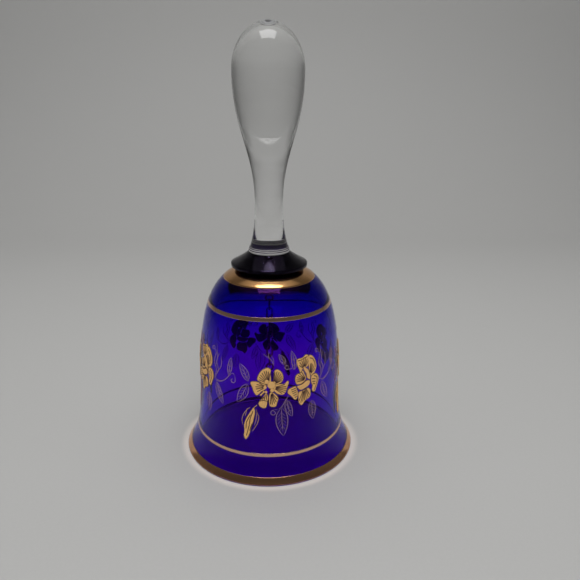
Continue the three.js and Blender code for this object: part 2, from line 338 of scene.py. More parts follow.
def wall_radius(z, inset=0.0, crown_inset=0.0):
    """Radius at a height: (body radius) x (1 - rise^squareness)^(1/fullness), plus the flare, which
    dies away exponentially."""
    cup = sizes().bell_cup
    z = np.asarray(z, float)
    rise = np.clip((z - cup.dome_start) / (cup.crown_height - crown_inset - cup.dome_start), 0, 1)
    dome = (1 - rise**cup.dome_squareness) ** (1 / cup.dome_fullness)
    flare = (cup.mouth_radius - cup.body_radius) * np.exp(-z / cup.flare_reach)
    return (cup.body_radius - inset) * dome + flare


def dome_height(r, inset=0.0, crown_inset=0.0):
    """Height of the dome at a radius: the same superellipse solved for height."""
    cup = sizes().bell_cup
    reach = 1 - (np.asarray(r, float) / (cup.body_radius - inset)) ** cup.dome_fullness
    tall = cup.crown_height - crown_inset - cup.dome_start
    return cup.dome_start + tall * reach ** (1 / cup.dome_squareness)


def side_profile(bottom, top, steps, inset=0.0, crown_inset=0.0):
    """(radius, height) up the side wall between two heights."""
    z = np.linspace(bottom, top, steps)
    return np.stack([wall_radius(z, inset, crown_inset), z], -1)


def crown_profile(outer, inner, steps, inset=0.0, crown_inset=0.0):
    """(radius, height) over the crown between two radii."""
    r = np.linspace(outer, inner, steps)
    return np.stack([r, dome_height(r, inset, crown_inset)], -1)


def laid(u, w, lift):
    """A point on the wall: u metres round from the -Y side, at height w, lifted off the glass."""
    radius = wall_radius(w)
    angle = u / radius
    slope = (wall_radius(w + 0.1 * MM) - wall_radius(w - 0.1 * MM)) / (0.2 * MM)
    out = 1 / np.sqrt(1 + slope**2)
    reach = radius + lift * out
    return np.stack([reach * np.sin(angle), -reach * np.cos(angle), w - lift * slope * out], -1)


def cup_surface():
    """The glass wall: down the inside from the crown, round the lip and up the outside."""
    cup = sizes().bell_cup
    bend = cup.crown_height - OUTSIDE_TURN
    inside_bend = cup.crown_height - cup.crown_wall - INSIDE_TURN
    inner_edge = float(wall_radius(inside_bend, cup.wall, cup.crown_wall))
    outer_edge = float(wall_radius(bend))
    r = cup.lip_rounding
    outer_lip = float(wall_radius(r))
    inner_lip = float(wall_radius(r, cup.wall, cup.crown_wall))
    quarter = np.linspace(0, math.pi / 2, 6)[1:]
    inner_round = np.stack([inner_lip + r * (1 - np.cos(quarter)), r * (1 - np.sin(quarter))], -1)
    outer_round = np.stack([outer_lip - r * (1 - np.sin(quarter)), r * (1 - np.cos(quarter))], -1)
    profile = np.vstack(
        [
            crown_profile(inner_edge, 0, 24, cup.wall, cup.crown_wall)[::-1],
            side_profile(r, inside_bend, 70, cup.wall, cup.crown_wall)[::-1][1:],
            inner_round,
            outer_round[:-1],
            side_profile(r, bend, 80),
            crown_profile(outer_edge, 0, 26)[1:],
        ]
    )
    return turned(profile)


def band_surface(under):
    """A thin gold band on a stretch of the wall: its underside is sunk in the glass and its face
    stands proud, falling to the glass at both edges by a sixteenth power."""
    gilding = sizes().bell_gilding
    along = np.gradient(under, axis=0)
    along /= np.linalg.norm(along, axis=1, keepdims=True)
    out = np.stack([along[:, 1], -along[:, 0]], -1)
    place = np.linspace(-1, 1, len(under))[:, None]
    proud = gilding.band_proud * (1 - place**16)
    profile = np.vstack([under + out * proud, (under - out * gilding.sunk)[::-1]])
    return turned(profile, loop=True)


# ---------------------------------------------------------------- petals and drawn lines


def closed_curve(points, steps):
    """Points on a smooth closed curve through the controls, run anticlockwise as seen from outside."""
    controls = np.asarray(points, float)
    x, y = controls.T
    if np.sum(x * np.roll(y, -1) - np.roll(x, -1) * y) < 0:
        controls = controls[::-1]
    at = np.arange(steps) / steps * len(controls)
    span = at.astype(int)
    t = (at - span)[:, None]
    a, b, c, d = (controls[(span + k) % len(controls)] for k in (-1, 0, 1, 2))
    return 0.5 * (2 * b + (c - a) * t + (2 * a - 5 * b + 4 * c - d) * t**2 + (3 * b - a - 3 * c + d) * t**3)


def off_segments(points, segments):
    """Distance of each point from the nearest of some straight strokes."""
    ends = np.asarray(segments, float)
    start, along = ends[:, 0], ends[:, 1] - ends[:, 0]
    t = np.einsum("...k,sk->...s", points, along) - np.einsum("sk,sk->s", start, along)
    t = np.clip(t / np.einsum("sk,sk->s", along, along), 0, 1)
    return np.linalg.norm(points[..., None, :] - start - t[..., None] * along, axis=-1).min(-1)


def petal(sprig, outline, strokes, layer=0.0, tilt=0.0):
    """One raised petal as a closed tile on the wall, in millimetres from the open blossom's centre.
    A point is heart + r (outline - heart); its height rises from the edge as a quarter wave, leans
    by `tilt` away from the flower's heart, and falls where a line is drawn. Returns the skin and, for
    each point, how much of it is drawn line."""
    gilding = sizes().bell_gilding
    rim = closed_curve(outline, 132)
    heart = rim.mean(0)
    spread = rim - heart
    outward = np.linalg.norm(spread, axis=1)
    r = np.linspace(1, 0.04, 38)[:, None, None]
    flat = heart + r * spread
    edge = (1 - r[..., 0]) * outward
    drawn = np.exp(-((edge / EDGE_LINE) ** 3))
    if strokes:
        drawn = np.maximum(drawn, np.exp(-((off_segments(flat, strokes) / INNER_LINE) ** 6)))
    rise = np.sin(math.pi / 2 * np.clip(edge / PETAL_ROUND, 0, 1))
    lean = tilt * (flat - heart) @ (heart / (np.linalg.norm(heart) + 1e-9)) * 0.1
    ripple = 0.05 * np.sin(5 * np.arctan2(spread[:, 1], spread[:, 0]) + 3 * r[..., 0])
    relief = gilding.petal_proud * (0.4 + 0.6 * rise + rise * (lean + ripple))
    lift = layer * MM + relief - gilding.groove * drawn
    back_r = np.array([0.33, 0.66, 1.0])[:, None, None]
    back = heart + back_r * spread
    rows = np.concatenate([back, flat])
    lifts = np.concatenate([np.full(back.shape[:2], -gilding.sunk), lift])
    rings = laid(rows[..., 0] * MM + sprig[0], rows[..., 1] * MM + sprig[1], lifts)
    middle = heart[:1] * MM + sprig[0], heart[1:] * MM + sprig[1]
    surface = skin(rings, laid(*middle, -gilding.sunk), laid(*middle, float(lift[-1].mean())))
    value = np.concatenate([np.zeros(back.shape[:2]), drawn]).ravel()
    return surface, np.concatenate([value, [0, drawn[-1].mean()]])


def fan(start, ends, begin=0.0, reach=1.1):
    """Straight strokes from one point towards several, each begun part of the way out."""
    start = np.array(start, float)
    ways = [np.array(end) - start for end in ends]
    return [(start + begin * way, start + reach * way) for way in ways]


def dot(sprig, centre, radius, layer):
    """A round raised dot, a dome of revolution laid on the wall."""
    gilding = sizes().bell_gilding
    angle = np.arange(28) / 28 * TURN
    share_out = np.array([1.0, 1.0, 0.86, 0.62, 0.3])[:, None]
    rise = np.array([0.0, 0.45, 0.8, 0.95, 1.0])[:, None]
    u = (centre[0] + radius * share_out * np.cos(angle)) * MM + sprig[0]
    w = (centre[1] + radius * share_out * np.sin(angle)) * MM + sprig[1]
    lift = layer * MM * (rise > 0) + gilding.petal_proud * rise - gilding.sunk * (rise == 0)
    rings = laid(u, w, lift + 0 * u)
    middle = np.array([centre[0] * MM + sprig[0]]), np.array([centre[1] * MM + sprig[1]])
    back = laid(*middle, -gilding.sunk)
    top = laid(*middle, layer * MM + gilding.petal_proud)
    value = np.concatenate([np.repeat([0.9, 0.5, 0, 0, 0], 28), [0, 0]])
    return skin(rings, back, top), value


def stroke(sprig, path, width=1.0, steps=26):
    """A drawn line along a path: a low rounded ridge, pointed at both ends, swept along a spline."""
    gilding = sizes().bell_gilding
    centre = eased(path, steps)
    along = np.gradient(centre, axis=0)
    along /= np.linalg.norm(along, axis=1, keepdims=True) + 1e-12
    across = np.stack([along[:, 1], -along[:, 0]], -1)
    t = np.linspace(0, 1, steps)[1:-1, None]
    swell = np.clip(np.sin(math.pi * t), 0, 1) ** 0.35
    half = width * gilding.stroke_width / MM / 2 * swell
    s = np.linspace(-1, 1, 7)[None]
    q = half * s
    u = (centre[1:-1, :1] + across[1:-1, :1] * q) * MM + sprig[0]
    w = (centre[1:-1, 1:] + across[1:-1, 1:] * q) * MM + sprig[1]
    face = laid(u, w, gilding.stroke_proud * np.sqrt(1 - 0.8 * s**2) * (0.4 + 0.6 * swell))
    back = laid(u, w, -gilding.sunk + 0 * u)[:, ::-1]
    ends = [laid(centre[i, :1] * MM + sprig[0], centre[i, 1:] * MM + sprig[1], 0.0) for i in (0, -1)]
    surface = skin(np.concatenate([face, back], 1), ends[0], ends[1])
    return surface, np.zeros(len(surface[0]))


def leaf_strokes(base, tip, width, bend=0.0, veins=4):
    """The strokes of one drawn leaf: two edges that meet at its ends, a midrib and paired veins."""
    base, tip = np.array(base, float), np.array(tip, float)
    along = tip - base
    reach = np.linalg.norm(along)
    along /= reach
    across = np.array([along[1], -along[0]])

    def point(t, s):
        half = width / 2 * math.sin(math.pi * t**0.85) ** 0.85
        sag = bend * math.sin(math.pi * t)
        return base + along * reach * t + across * (half * s + sag)

    places = [k / 7 for k in range(8)]
    strokes = [([point(t, side) for t in places], 1.0) for side in (-1, 1)]
    strokes.append(([point(t, 0) for t in places[:-1]], 0.8))
    for k in range(veins):
        t = 0.16 + 0.6 * k / max(veins, 1)
        for side in (-1, 1):
            strokes.append(([point(t, 0), point(t + 0.09, 0.42 * side), point(t + 0.15, 0.82 * side)], 0.6))
    return strokes


def curl_strokes(start, centre, radius, turns=1.2, spin=1):
    """A stalk that ends in a curl: a spiral drawn in towards its centre."""
    centre = np.array(centre, float)
    first = math.atan2(start[1] - centre[1], start[0] - centre[0])
    angles = [first + spin * TURN * turns * k / 9 for k in range(10)]
    radii = [radius * (1 - 0.6 * k / 9) for k in range(10)]
    spiral = [centre + r * np.array([math.cos(a), math.sin(a)]) for a, r in zip(angles, radii)]
    return [([np.array(start, float)] + spiral[1:], 0.9)]


# Petals as (outline, strokes, layer, tilt), in millimetres across and up from the blossom's centre.
OPEN_PETALS = [
    (
        [(-1.2, -2.6), (-0.5, -4.6), (-0.8, -6.2), (-1.0, -7.8), (-1.6, -9.1), (-2.9, -9.2), (-4.1, -8.4),
         (-4.5, -7.2), (-3.9, -6.0), (-3.3, -5.2), (-2.4, -4.0), (-1.8, -3.0)],
        [((-3.6, -6.1), (-2.4, -5.7)), ((-2.4, -5.7), (-1.1, -6.1)), ((-1.4, -3.4), (-1.2, -5.4)),
         ((-1.8, -3.8), (-2.1, -5.4)), ((-2.3, -4.4), (-2.9, -5.4))],
        0.0, 1.0,
    ),
    (
        [(0.4, -2.2), (2.0, -3.0), (3.1, -4.3), (3.4, -5.5), (2.9, -7.0), (2.4, -8.5), (1.2, -8.8),
         (0.0, -8.4), (-0.4, -7.2), (-0.5, -5.2), (-0.3, -3.4)],
        fan((0.5, -2.4), [(0.2, -6.8), (0.9, -6.9), (1.6, -6.5), (2.2, -6.0), (2.6, -5.0)], 0.2),
        0.02, 1.0,
    ),
    (
        [(3.6, 1.0), (5.6, 0.9), (6.7, 1.9), (7.4, 1.5), (7.1, 0.1), (6.7, -1.4), (6.1, -2.9),
         (5.2, -3.8), (3.8, -3.7), (2.4, -3.0), (1.2, -1.4), (1.6, 0.4)],
        fan((1.3, -0.4), [(5.2, 0.4), (5.7, -0.3), (5.9, -1.0), (5.7, -1.8), (5.2, -2.5), (4.3, -2.8)], 0.25),
        0.04, 0.6,
    ),
    (
        [(-1.2, 0.6), (-3.6, 1.6), (-5.2, 2.0), (-7.2, 1.7), (-7.5, 0.9), (-6.9, -0.6), (-6.5, -2.0),
         (-5.9, -3.2), (-5.1, -4.0), (-4.1, -3.4), (-3.0, -2.2), (-1.6, -1.2)],
        fan((-1.4, -0.1), [(-4.5, 0.7), (-4.9, -0.2), (-4.8, -1.0), (-4.3, -1.9), (-3.6, 1.1)], 0.25),
        0.05, 0.8,
    ),
    (
        [(1.4, 0.8), (1.3, 2.8), (1.5, 4.8), (1.6, 6.2), (2.4, 6.9), (3.5, 6.7), (4.5, 5.8), (5.1, 4.6),
         (5.3, 3.1), (4.9, 1.9), (4.2, 1.2), (2.6, 0.6)],
        fan((1.4, 0.8), [(1.9, 5.4), (2.6, 5.5), (3.3, 5.2), (3.9, 4.6), (4.3, 3.8), (4.5, 3.0),
                         (4.2, 2.2)], 0.3),
        0.06, 0.8,
    ),
    (
        [(0.3, 1.2), (0.6, 3.4), (0.4, 5.2), (0.5, 6.9), (-0.6, 7.7), (-2.2, 7.2), (-3.4, 6.3), (-4.4, 4.7),
         (-4.9, 2.8), (-4.0, 1.9), (-1.6, 0.8)],
        fan((-0.4, 1.2), [(-3.6, 2.6), (-3.5, 3.5), (-3.1, 4.3), (-2.6, 5.1), (-1.9, 5.7), (-1.2, 5.9),
                          (-0.5, 5.6), (0.0, 4.9)], 0.3),
        0.08, 0.8,
    ),
    ([(-2.2, -1.6), (-2.8, -2.2), (-3.9, -3.6), (-3.5, -4.1), (-2.9, -3.6), (-1.7, -2.2)], [], 0.09, 0.0),
]
# Dots as (centre, radius), in the same millimetres, and how far they are raised.
OPEN_DOTS = [
    ((0.6, 0.6), 1.5), ((-1.1, 2.0), 0.85), ((-1.8, -0.3), 0.65), ((0.9, -1.5), 0.8), ((-1.4, -2.2), 0.5)
]
DOT_LAYER = 0.22

SIDE_PETALS = [
    (
        [(15.6, 10.3), (16.5, 10.6), (17.7, 9.8), (18.7, 8.5), (19.4, 7.0), (19.7, 5.5), (19.5, 4.3),
         (19.0, 3.3), (18.3, 2.5), (17.4, 2.2), (16.8, 1.9), (16.2, 3.5), (15.7, 5.2), (15.4, 7.4)],
        fan((16.4, 2.6), [(16.4, 6.6), (16.9, 6.6), (17.4, 6.1), (17.9, 5.3), (18.3, 4.4)], 0.25)
        + [((16.2, 9.4), (17.4, 8.9)), ((17.4, 8.9), (18.4, 7.2)), ((18.4, 7.2), (18.8, 5.2))],
        0.0, 0.8,
    ),
    (
        [(10.3, 8.5), (10.2, 9.5), (10.9, 10.1), (12.0, 10.2), (13.1, 10.4), (13.8, 10.9), (14.6, 11.2),
         (15.6, 10.6), (15.9, 8.9), (15.6, 6.6), (14.5, 5.8), (13.1, 5.6), (12.0, 4.2), (11.4, 5.5),
         (10.7, 7.1)],
        fan((13.6, 5.6), [(11.9, 8.2), (12.6, 8.7), (13.3, 9.1), (14.0, 9.3), (14.7, 9.0), (15.2, 8.2),
                          (11.7, 7.2)], 0.3)
        + [((10.9, 9.3), (12.2, 9.4)), ((12.2, 9.4), (13.6, 10.0)), ((13.6, 10.0), (14.8, 10.2))],
        0.02, 0.8,
    ),
    (
        [(9.7, 2.1), (10.0, 3.5), (10.9, 4.1), (12.2, 4.4), (13.1, 5.2), (13.9, 3.6), (14.6, 2.1),
         (14.5, 1.0), (13.6, 0.2), (12.2, -0.5), (10.6, -0.4), (9.9, 0.6)],
        fan((14.3, 1.1), [(10.8, 0.9), (10.7, 1.7), (10.9, 2.5), (11.3, 3.2), (11.9, 3.7), (12.7, 4.1)], 0.2),
        0.03, 0.4,
    ),
    (
        [(16.9, 1.9), (18.3, 2.5), (19.5, 2.3), (20.5, 1.2), (20.9, -0.3), (20.6, -1.8), (20.0, -3.1),
         (19.5, -4.2), (18.9, -5.2), (17.9, -5.2), (17.3, -4.1), (17.5, -2.5), (16.8, -0.8)],
        [((18.3, 1.6), (19.6, 0.9)), ((19.6, 0.9), (19.9, -0.8)), ((19.9, -0.8), (19.0, -3.2)),
         ((19.0, -3.2), (18.3, -4.5)), ((17.3, 0.6), (18.7, 0.2)), ((17.5, -0.6), (18.8, -0.9)),
         ((17.8, -1.6), (18.7, -1.9))],
        0.03, 0.8,
    ),
    (
        [(6.7, -3.2), (7.0, -1.8), (8.0, -1.2), (9.2, -0.9), (10.1, -0.8), (10.7, -2.0), (11.1, -3.1),
         (11.2, -4.4), (10.9, -5.6), (10.5, -6.5), (9.7, -6.6), (8.8, -5.6), (7.7, -4.4)],
        [((10.0, -1.6), (8.3, -2.1)), ((10.3, -2.4), (8.5, -2.9)), ((10.4, -3.2), (8.9, -3.7)),
         ((10.5, -4.1), (9.3, -4.5)), ((10.4, -5.0), (9.8, -5.4))],
        0.04, 0.8,
    ),
    (
        [(11.2, -3.6), (12.1, -3.2), (13.2, -3.2), (14.4, -2.9), (15.6, -2.6), (16.6, -3.6), (16.8, -4.8),
         (16.8, -6.1), (16.3, -7.0), (15.3, -7.5), (14.4, -7.9), (13.6, -8.6), (12.8, -9.5), (12.0, -9.2),
         (11.3, -8.0), (11.1, -6.4), (11.0, -5.0)],
        fan((13.8, -1.6), [(11.8, -6.6), (12.4, -7.5), (13.1, -7.2), (13.8, -6.9), (14.5, -6.5), (15.3, -6.1),
                           (15.8, -5.3)], 0.38),
        0.05, 0.8,
    ),
    (
        [(13.2, 6.3), (14.5, 5.9), (15.6, 4.9), (16.2, 3.4), (16.5, 2.0), (16.3, 0.5), (15.1, 1.3),
         (14.7, 1.9), (14.3, 3.6), (13.6, 4.8)],
        [], 0.12, -0.6,
    ),
    (
        [(10.5, -1.0), (12.0, -0.7), (13.2, -0.1), (14.2, 0.4), (15.2, 0.7), (16.3, 0.2), (16.4, -0.8),
         (15.9, -1.6), (15.0, -2.2), (14.0, -2.6), (12.8, -2.9), (11.7, -2.8), (10.9, -2.0)],
        [], 0.15, -0.6,
    ),
]

BUD_PETALS = [
    (
        [(-6.2, -9.0), (-5.7, -10.9), (-6.1, -13.4), (-6.6, -15.8), (-7.4, -18.4), (-8.3, -21.3),
         (-9.6, -23.2), (-10.5, -21.8), (-10.2, -19.6), (-10.4, -17.2), (-9.6, -14.4), (-8.3, -12.1),
         (-7.2, -10.3)],
        [((-6.6, -10.8), (-7.7, -14.0)), ((-7.7, -14.0), (-8.1, -17.0)), ((-8.1, -17.0), (-9.2, -21.2)),
         ((-7.6, -12.4), (-9.2, -15.6)), ((-9.2, -15.6), (-9.4, -18.4)), ((-7.0, -16.2), (-7.9, -19.0))],
        0.0, 0.6,
    ),
]
# Drawn strokes as (path, share of the stroke's full width).
BUD_SEPALS = [
    ([(-7.6, -9.2), (-8.8, -10.2), (-10.4, -12.5), (-11.1, -15.0), (-10.8, -17.4)], 0.6),
    ([(-8.8, -9.7), (-9.4, -11.9), (-9.8, -13.4)], 0.6),
    ([(-5.4, -9.6), (-4.9, -11.6), (-4.3, -13.1), (-4.8, -15.6), (-6.5, -18.7), (-7.2, -19.6)], 0.6),
    ([(-5.2, -11.6), (-5.4, -14.2), (-6.1, -16.9)], 0.6),
    ([(-4.9, -8.0), (-6.2, -9.2)], 0.9),
]

LEAVES = {
    "left_leaves": leaf_strokes((-8.3, 1.6), (-11.7, 8.4), 2.7, 0.3, 3)
    + leaf_strokes((-8.6, 0.6), (-13.1, -7.9), 3.5, -0.3, 4),
    "lower_leaves": leaf_strokes((6.5, -6.2), (8.8, -13.5), 2.6, 0.3, 3)
    + leaf_strokes((4.5, -9.2), (5.3, -21.4), 4.7, 0.2, 5)
    + [([(7.4, -4.2), (6.2, -6.0), (4.6, -8.8), (3.4, -9.6)], 1.0)]
    + curl_strokes((3.4, -9.6), (1.4, -11.2), 1.3),
    "side_leaf": leaf_strokes((17.4, -8.6), (18.2, -17.0), 3.4, 0.1, 4),
    "upper_leaves": leaf_strokes((5.9, 8.4), (3.4, 12.6), 1.8, 0.2, 2)
    + leaf_strokes((9.6, 5.8), (8.3, 13.6), 2.0, 0.4, 2)
    + curl_strokes((9.4, 6.6), (6.6, 7.4), 1.1, 1.1, -1)
    + [
        ([(1.5, 8.4), (0.6, 10.6), (-2.4, 12.9)], 0.8),
        ([(0.6, 10.4), (-0.4, 12.0), (-0.2, 13.8)], 0.8),
        ([(1.5, 8.4), (1.4, 10.8), (0.4, 12.6)], 0.6),
    ],
    "fronds": [
        ([(21.4, -1.0), (23.4, 3.4), (22.2, 6.6), (23.4, 10.6)], 1.0),
        ([(21.4, -1.0), (22.2, 3.0), (20.8, 6.4), (21.8, 11.0)], 1.0),
        ([(23.0, 2.2), (24.8, 5.4), (24.4, 9.4)], 0.9),
        ([(21.6, 4.2), (22.4, 8.0), (21.4, 13.4)], 0.7),
    ]
    + curl_strokes((21.0, 9.8), (19.6, 11.4), 1.0, 1.1, 1),
    "trailing_leaves": leaf_strokes((22.6, -2.2), (26.4, -10.6), 3.1, 0.3, 4)
    + leaf_strokes((28.8, 2.6), (29.2, 10.0), 1.9, 0.1, 2)
    + [
        ([(20.8, -0.6), (23.4, -1.2), (26.0, -0.6), (28.2, 1.4), (29.0, 2.8)], 1.1),
        ([(21.6, -1.8), (24.6, -1.4), (27.2, 0.4), (30.2, 3.6), (31.6, 3.2)], 0.8),
    ]
    + curl_strokes((31.6, 3.2), (30.8, 0.8), 1.3, 1.0, -1),
}


def sprig_place(number):
    """Where a sprig's own origin lies: metres round the wall, and its height."""
    height = sizes().bell_gilding.sprig_height
    turn = (number - 1) / SPRIGS * TURN
    return turn * float(wall_radius(height)), height


def turned_about_axis(surface, angle):
    """A surface turned about the bell's axis."""
    points, quads, triangles = surface
    c, s = math.cos(angle), math.sin(angle)
    return points @ np.array([[c, s, 0], [-s, c, 0], [0, 0, 1]]), quads, triangles


def repeat_round(name, surface, line, finish, slot):
    """One piece for each sprig, a quarter turn apart about the bell's axis."""
    for number in range(1, SPRIGS + 1):
        placed = turned_about_axis(surface, (number - 1) / SPRIGS * TURN)
        make_piece(f"gilt_{name}_{number}", placed, finish, node=f"{name}_{number}", line=line)


# ---------------------------------------------------------------- wire and bead


def wire_ring(node, wire):
    """A link or eye: wire carried round a path whose ends are half circles, x = R cos a and
    z = R sin a plus a straight run. It stands in the plane the CAD ring stands in."""
    lo, hi = low(node), high(node)
    centre = (lo + hi) / 2
    width = max(hi.x - lo.x, hi.y - lo.y)
    in_x = hi.x - lo.x > hi.y - lo.y
    side = (width - wire) / 2
    straight = max((hi.z - lo.z - wire) / 2 - side, 0)
    a = np.arange(56) / 56 * TURN
    path_x = side * np.cos(a)
    path_z = side * np.sin(a) + straight * np.clip(3 * np.sin(a), -1, 1)
    path = np.stack([path_x, path_z], -1)
    tangent = np.roll(path, -1, axis=0) - np.roll(path, 1, axis=0)
    tangent /= np.linalg.norm(tangent, axis=1, keepdims=True)
    seam = 1 + 0.07 * np.exp(-(((a - math.pi * 0.98) / 0.09) ** 2))
    b = np.arange(14) / 14 * TURN
    out = np.cos(b)[None] * wire / 2 * seam[:, None]
    side_off = np.sin(b)[None] * wire / 2 * seam[:, None]
    ring_x = path_x[:, None] + tangent[:, 1:] * out
    ring_z = path_z[:, None] - tangent[:, :1] * out
    flat = np.stack([ring_x, side_off, ring_z], -1) if in_x else np.stack([-side_off, ring_x, ring_z], -1)
    return skin(flat + np.array(centre), loop=True)


def bead_surface():
    """A glass bead: most of a circle turned about the axis, closed by its bore."""
    clapper = sizes().bell_clapper
    lo, hi = low("clapper_bead"), high("clapper_bead")
    radius = (hi.x - lo.x) / 2
    bore = clapper.bore / 2
    lean = math.asin(bore / radius)
    a = np.linspace(lean - math.pi / 2, math.pi / 2 - lean, 40)
    arc = np.stack([radius * np.cos(a), radius * np.sin(a)], -1)
    hole = np.stack([np.full(6, bore), np.linspace(arc[-1, 1], arc[0, 1], 8)[1:-1]], -1)
    return turned(np.vstack([arc, hole]) + [0, (lo.z + hi.z) / 2], loop=True, sides=72)


def pin_surface():
    """The pin: a domed head under the bead and a straight shank up to the eye."""
    clapper = sizes().bell_clapper
    lo, hi = low("clapper_pin"), high("clapper_pin")
    head = (hi.x - lo.x) / 2
    a = np.linspace(-math.pi / 2, 0, 8)
    dome = np.stack([head * np.cos(a), lo.z + clapper.pin_head * 0.75 * (1 + np.sin(a))], -1)
    shank = clapper.pin_wire / 2
    rest = [
        (head, lo.z + clapper.pin_head * 0.9),
        (head * 0.94, lo.z + clapper.pin_head),
        (shank * 1.2, lo.z + clapper.pin_head),
        (shank, lo.z + clapper.pin_head * 1.3),
        (shank, hi.z),
        (0, hi.z),
    ]
    return turned(np.vstack([[(0, lo.z)], dome[1:], rest]), sides=40)


def hanger_surface():
    """The hanger plate: a stamped disc with a rounded edge and a low boss."""
    lo, hi = low("hanger_plate"), high("hanger_plate")
    radius, thick = hi.x, hi.z - lo.z
    a = np.linspace(-math.pi / 2, math.pi / 2, 9)
    edge = np.stack([radius - thick * 0.4 + thick * 0.4 * np.cos(a), lo.z + thick / 2 * (1 + np.sin(a))], -1)
    boss = [
        (0, lo.z - 0.02 * MM),
        (radius * 0.3, lo.z),
        (radius * 0.42, lo.z + thick * 0.2),
        (radius * 0.6, lo.z),
    ]
    return turned(np.vstack([boss, edge, [(0, hi.z)]]), sides=72)


# ---------------------------------------------------------------- shader node groups


def new_group(name, inputs, outputs):
    """An empty node group with its sockets, and its input and output nodes."""
    group = bpy.data.node_groups.new(name, "ShaderNodeTree")
    for label, kind, default in inputs:
        socket = group.interface.new_socket(label, in_out="INPUT", socket_type=kind)
        socket.default_value = default
    for label, kind in outputs:
        group.interface.new_socket(label, in_out="OUTPUT", socket_type=kind)
    return group, group.nodes.new("NodeGroupInput"), group.nodes.new("NodeGroupOutput")


def node(tree, kind, links=None, **values):
    """A node with its settings, plain socket values and links to its inputs."""
    made = tree.nodes.new(kind)
    for key, value in values.items():
        setattr(made, key, value)
    for socket, source in (links or {}).items():
        if isinstance(source, bpy.types.NodeSocket):
            tree.links.new(source, made.inputs[socket])
        else:
            made.inputs[socket].default_value = source
    return made


def own_place(tree):
    """The piece's own coordinates."""
    return node(tree, "ShaderNodeTexCoord").outputs["Object"]


def noise(tree, scale, detail, **more):
    """Fractal noise over the piece's own coordinates."""
    links = {"Vector": own_place(tree), "Scale": scale, "Detail": detail, **more}
    return node(tree, "ShaderNodeTexNoise", links).outputs["Fac"]


def maths(tree, operation, *values):
    """One sum on numbers and sockets."""
    return node(tree, "ShaderNodeMath", dict(enumerate(values)), operation=operation).outputs[0]


def ranged(tree, value, first, last, start=0.0, end=1.0, **settings):
    """A value carried from first..last to start..end, and held beyond its ends."""
    links = {"Value": value, "From Min": first, "From Max": last, "To Min": start, "To Max": end}
    return node(tree, "ShaderNodeMapRange", links, **settings).outputs[0]


def mixed(tree, amount, one, other):
    """Two colours mixed: the one where the amount is 0, the other where it is 1."""
    return node(tree, "ShaderNodeMix", {0: amount, 6: one, 7: other}, data_type="RGBA").outputs[2]


def shaded(tone, amount):
    """A colour made lighter or darker, with its alpha."""
    return (*[min(1, part * amount) for part in tone], 1)


def glass_skin_group():
    """What handling leaves on blown glass: a slow waviness of the surface and faint smears."""
    group, given, result = new_group(
        "glass_skin",
        [
            ("Wave", "NodeSocketFloat", 0.1),
            ("Smear", "NodeSocketFloat", 0.02),
            ("Scale", "NodeSocketFloat", 60.0),
        ],
        [("Roughness", "NodeSocketFloat"), ("Normal", "NodeSocketVector")],
    )
    wave = noise(group, given.outputs["Scale"], 1.0)
    bump = node(
        group, "ShaderNodeBump", {"Height": wave, "Strength": given.outputs["Wave"], "Distance": 0.0006}
    )
    smear = ranged(group, noise(group, 95.0, 5.0), 0.45, 0.75)
    scaled = maths(group, "MULTIPLY", smear, given.outputs["Smear"])
    group.links.new(scaled, result.inputs["Roughness"])
    group.links.new(bump.outputs["Normal"], result.inputs["Normal"])
    return group


def fired_gold_group():
    """Fired gold: small changes of tone, rubbed patches, fine brush texture and dark drawn lines, which
    are bare of metal."""
    group, given, result = new_group(
        "fired_gold",
        [
            ("Gold", "NodeSocketColor", (0.7, 0.45, 0.2, 1)),
            ("Rubbed", "NodeSocketColor", (0.4, 0.22, 0.12, 1)),
            ("Drawn", "NodeSocketColor", (0.05, 0.02, 0.03, 1)),
            ("Line", "NodeSocketFloat", 0.0),
            ("Wear", "NodeSocketFloat", 0.3),
            ("Polish", "NodeSocketFloat", 0.3),
            ("Grain", "NodeSocketFloat", 0.2),
            ("Metal", "NodeSocketFloat", 1.0),
        ],
        [
            ("Color", "NodeSocketColor"),
            ("Roughness", "NodeSocketFloat"),
            ("Metallic", "NodeSocketFloat"),
            ("Normal", "NodeSocketVector"),
        ],
    )
    line = given.outputs["Line"]
    patch = ranged(group, noise(group, 420.0, 6.0, Roughness=0.62), 0.48, 0.78)
    wear = maths(group, "MULTIPLY", patch, given.outputs["Wear"])
    tone = mixed(group, wear, given.outputs["Gold"], given.outputs["Rubbed"])
    rough = maths(group, "MULTIPLY_ADD", wear, 0.35, given.outputs["Polish"])
    bare = maths(group, "MULTIPLY_ADD", line, -0.9, 1.0)
    grain = {"Height": noise(group, 2600.0, 3.0), "Strength": given.outputs["Grain"], "Distance": 0.0001}
    bump = node(group, "ShaderNodeBump", grain)
    group.links.new(mixed(group, line, tone, given.outputs["Drawn"]), result.inputs["Color"])
    group.links.new(maths(group, "MULTIPLY_ADD", line, 0.3, rough), result.inputs["Roughness"])
    group.links.new(maths(group, "MULTIPLY", bare, given.outputs["Metal"]), result.inputs["Metallic"])
    group.links.new(bump.outputs["Normal"], result.inputs["Normal"])
    return group


def group_of(name, maker):
    """A node group, built the first time it is asked for."""
    return bpy.data.node_groups.get(name) or maker()


# ---------------------------------------------------------------- materials


def new_material(name):
    """A material with its Principled shader ready."""
    material = bpy.data.materials.new(name)
    material.use_nodes = True
    return material, material.node_tree, material.node_tree.nodes["Principled BSDF"]


